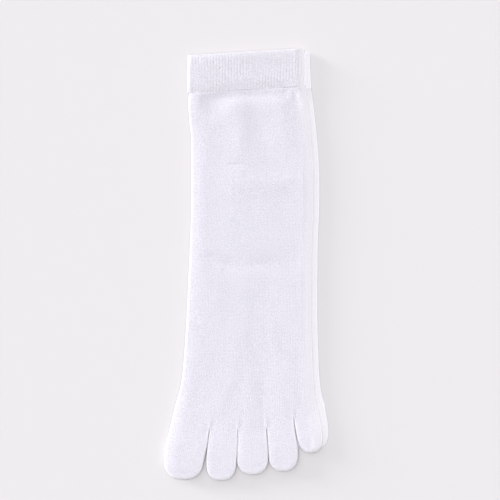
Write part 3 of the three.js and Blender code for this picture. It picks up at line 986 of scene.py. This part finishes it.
def knit_material(name, yarn):
    """Matt cotton yarn. Its stitches are worked out from the wales and courses in the piece's UV map."""
    n, knit = Nodes(name), KNITS[name]
    stitches = n.node("ShaderNodeUVMap", uv_map="stitches")
    apart = n.node("ShaderNodeSeparateXYZ")
    n.link(stitches.outputs["UV"], apart.inputs[0])
    wale, course = apart.outputs[0], apart.outputs[1]

    # each wale is a column of Vs: two leaning legs of yarn, with a valley between them and a deeper
    # one between the wales
    across = n.math("ABSOLUTE", n.math("SUBTRACT", n.math("FRACT", wale), 0.5))
    off_leg = n.math("MULTIPLY", n.math("SUBTRACT", across, STITCH["leg"]), STITCH["narrow"])
    leg = n.math("SUBTRACT", 1.0, n.math("MULTIPLY", off_leg, off_leg))
    lean = n.math("ADD", course, n.math("MULTIPLY", across, STITCH["lean"]))
    along = n.math("MULTIPLY", n.math("ABSOLUTE", n.math("SUBTRACT", n.math("FRACT", lean), 0.5)), 2.0)
    bite = n.math("MULTIPLY", n.math("POWER", along, STITCH["bite_power"]), STITCH["bite"])
    yarn_height = n.math("MAXIMUM", n.math("SUBTRACT", leg, bite), 0.0)

    place = n.node("ShaderNodeTexCoord").outputs["Object"]
    fuzz = n.noise(place, FUZZ["scale"], FUZZ["detail"])
    height = n.math("ADD", yarn_height, n.math("MULTIPLY", fuzz, FUZZ["height"]))
    grain = n.noise(place, knit["grain_scale"], 0.0)

    # no two legs of yarn take the light alike
    cell = n.node("ShaderNodeCombineXYZ")
    n.link(n.math("FLOOR", n.math("MULTIPLY", wale, 2.0)), cell.inputs[0])
    n.link(n.math("FLOOR", lean), cell.inputs[1])
    random = n.node("ShaderNodeTexWhiteNoise", noise_dimensions="2D")
    n.link(cell.outputs[0], random.inputs["Vector"])
    cloud = n.noise(place, CLOUDS["scale"], CLOUDS["detail"])

    # painted shade: the colour is darker in the valleys between the legs of yarn and between the wales
    valley = n.math("MULTIPLY", n.math("SUBTRACT", 1.0, yarn_height), knit["valley"])
    each = n.math("MULTIPLY", random.outputs["Value"], EACH_LEG)
    uneven = n.math("ADD", each, n.math("MULTIPLY", cloud, CLOUDS["depth"]))
    uneven = n.math("ADD", uneven, n.math("MULTIPLY", grain, knit["grain"]))
    shade = n.math("ADD", valley, uneven)
    # painted light: beside the folds a paler colour covers the yarn and hides part of its grain and painted
    # shade
    painted_light = n.node("ShaderNodeAttribute", attribute_name="painted_light").outputs["Fac"]
    bare = n.math("SUBTRACT", 1.0, n.math("MULTIPLY", painted_light, UNDER_PAINTED_LIGHT))
    base = n.mix(n.math("MULTIPLY", shade, bare), yarn, darker(yarn, SHADE))
    fluff = n.mix(n.math("MULTIPLY", grain, PAINTED_LIGHT_GRAIN), PAINTED_LIGHT_COLOUR, darker(PAINTED_LIGHT_COLOUR, SHADE))

    bump = n.node("ShaderNodeBump")
    n.link(knit["bump"], bump.inputs["Strength"])
    n.link(BUMP_DISTANCE, bump.inputs["Distance"])
    n.link(height, bump.inputs["Height"])
    n.link(bump.outputs["Normal"], n.shader.inputs["Normal"])
    # the light painted beside the folds is laid over the yarn's colour
    return n.finish(n.mix(painted_light, base, fluff), COTTON)


def dress(obj, knit, yarn):
    """Give a piece its knit. The first piece that has a knit makes its material."""
    obj.data.materials.append(bpy.data.materials.get(knit) or knit_material(knit, yarn))


def floor_material(paint):
    n = Nodes("pale_floor")
    place = n.node("ShaderNodeTexCoord").outputs["Object"]
    cloud = n.noise(place, FLOOR_CLOUDS["scale"], FLOOR_CLOUDS["detail"])
    depth = n.math("MULTIPLY", cloud, FLOOR_CLOUDS["depth"])
    return n.finish(n.mix(depth, paint, darker(paint, FLOOR_CLOUDS["shade"])), FLOOR_LOOKS)


# ---- the stage, in metres ----
# the lights: turn from the socks' left towards the cuffs, height and width in degrees
LIGHTS = [
    {"name": "ceiling", "azimuth": 0.0, "elevation": 88.0, "width": 45.0, "strength": 2.50},
    {"name": "window", "azimuth": 42.0, "elevation": 36.0, "width": 80.0, "strength": 1.34},
    {"name": "window_edge", "azimuth": 24.0, "elevation": 7.4, "width": 16.0, "strength": 3.75},
    {"name": "room", "azimuth": 180.0, "elevation": 30.0, "width": 100.0, "strength": 0.30},
]
LIGHT_DISTANCE = 2.0  # of the lamps, which shine as evenly from anywhere
ROOM_STRENGTH = 0.16  # of the light that comes from all sides
FLOOR_SIZE, FLOOR_DROP = 6.0, 0.0001
# the camera looks straight down, and sees width_seen across at the top of the pair
CAMERA = {"x": 0.0027, "y": 0.0099, "height": 1.5, "width_seen": 0.380, "top": 0.006, "near": 0.01}
SENSOR_WIDTH = 36.0  # in millimetres, as the lens is
RENDER_SOFTNESS = 1.3


# ---- the operators ----
class TOESOCKS_OT_skins(bpy.types.Operator):
    """Knit the leg, foot and toes of both socks"""

    bl_idname = "toesocks.skins"
    bl_label = "Knit legs, feet and toes"

    def execute(self, context):
        sizes, colours = context.scene.sock_sizes, context.scene.sock_colours
        for name in SOCKS:
            lay = Lay(name)
            sock = knit_skin(lay, sizes)
            give_thickness(sock, sizes.cloth)
            dress(sock, "plain_knit", colours.knit)
            nodes = [f"{name}_leg_and_foot"] + [f"{name}_{toe['name']}" for toe in TOES]
            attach(sock, "root")
            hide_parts(*nodes)
        return {"FINISHED"}


class TOESOCKS_OT_cuffs(bpy.types.Operator):
    """Knit the ribbed cuffs"""

    bl_idname = "toesocks.cuffs"
    bl_label = "Knit the cuffs"

    def execute(self, context):
        sizes, colours = context.scene.sock_sizes, context.scene.sock_colours
        for name in SOCKS:
            cuff = knit_cuff(Lay(name), sizes)
            dress(cuff, "rib_knit", colours.rib)
            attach(cuff, "root")
            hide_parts(f"{name}_cuff")
        return {"FINISHED"}


class TOESOCKS_OT_heels(bpy.types.Operator):
    """Fold the heel pockets flat between the two socks"""

    bl_idname = "toesocks.heels"
    bl_label = "Fold the heels"

    def execute(self, context):
        sizes, colours = context.scene.sock_sizes, context.scene.sock_colours
        for name in SOCKS:
            heel = fold_heel(Lay(name), sizes)
            dress(heel, "plain_knit", colours.knit)
            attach(heel, "root")
            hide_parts(f"{name}_heel_pocket")
        return {"FINISHED"}


class TOESOCKS_OT_stage(bpy.types.Operator):
    """Lay a pale floor, light it softly from the left and look straight down"""

    bl_idname = "toesocks.stage"
    bl_label = "Set the stage"

    def execute(self, context):
        colours = context.scene.sock_colours
        bpy.ops.object.select_all(action="DESELECT")
        bpy.ops.mesh.primitive_plane_add(size=FLOOR_SIZE, location=(0.0, 0.0, -FLOOR_DROP))
        floor = context.object
        floor.name = "floor"
        bpy.ops.object.transform_apply(location=True, rotation=True, scale=True)
        floor.data.materials.append(floor_material(tuple(colours.floor)))

        world = bpy.data.worlds.new("soft_room")
        context.scene.world = world
        world.use_nodes = True
        background = world.node_tree.nodes["Background"]
        background.inputs["Color"].default_value = (1.0, 1.0, 1.0, 1.0)
        background.inputs["Strength"].default_value = ROOM_STRENGTH

        for light in LIGHTS:
            turn, rise = math.radians(light["azimuth"]), math.radians(light["elevation"])
            level = math.cos(rise)
            toward = Vector((-math.cos(turn) * level, math.sin(turn) * level, math.sin(rise)))
            bpy.ops.object.light_add(type="SUN", location=LIGHT_DISTANCE * toward)
            lamp = context.object
            lamp.name = light["name"]
            lamp.data.energy = light["strength"]
            lamp.data.angle = math.radians(light["width"])
            lamp.rotation_euler = toward.to_track_quat("Z", "Y").to_euler()

        place = (CAMERA["x"], CAMERA["y"], CAMERA["height"])
        bpy.ops.object.camera_add(location=place, rotation=(0.0, 0.0, 0.0))
        camera = context.object
        camera.name = "view_from_above"
        camera.data.sensor_width = SENSOR_WIDTH
        camera.data.lens = SENSOR_WIDTH * (CAMERA["height"] - CAMERA["top"]) / CAMERA["width_seen"]
        camera.data.clip_start = CAMERA["near"]
        context.scene.camera = camera
        context.scene.view_settings.view_transform = "Standard"
        context.scene.cycles.filter_width = RENDER_SOFTNESS
        return {"FINISHED"}


class TOESOCKS_PT_panel(bpy.types.Panel):
    """The sizes, colours and steps of the pair"""

    bl_label = "Toe Socks"
    bl_idname = "TOESOCKS_PT_panel"
    bl_space_type = "VIEW_3D"
    bl_region_type = "UI"
    bl_category = "Toe Socks"

    def draw(self, context):
        for group in (context.scene.sock_sizes, context.scene.sock_colours):
            column = self.layout.column()
            for key in group.__annotations__:
                column.prop(group, key)
        for step in STEPS:
            self.layout.operator(step.bl_idname)


STEPS = (TOESOCKS_OT_skins, TOESOCKS_OT_cuffs, TOESOCKS_OT_heels, TOESOCKS_OT_stage)
CLASSES = (SockSizes, SockColours, *STEPS, TOESOCKS_PT_panel)


def register():
    for cls in CLASSES:
        bpy.utils.register_class(cls)
    bpy.types.Scene.sock_sizes = PointerProperty(type=SockSizes)
    bpy.types.Scene.sock_colours = PointerProperty(type=SockColours)


def unregister():
    del bpy.types.Scene.sock_colours
    del bpy.types.Scene.sock_sizes
    for cls in reversed(CLASSES):
        bpy.utils.unregister_class(cls)


def main():
    register()
    bpy.ops.toesocks.skins()
    bpy.ops.toesocks.cuffs()
    bpy.ops.toesocks.heels()
    bpy.ops.toesocks.stage()


if __name__ == "__main__":
    main()
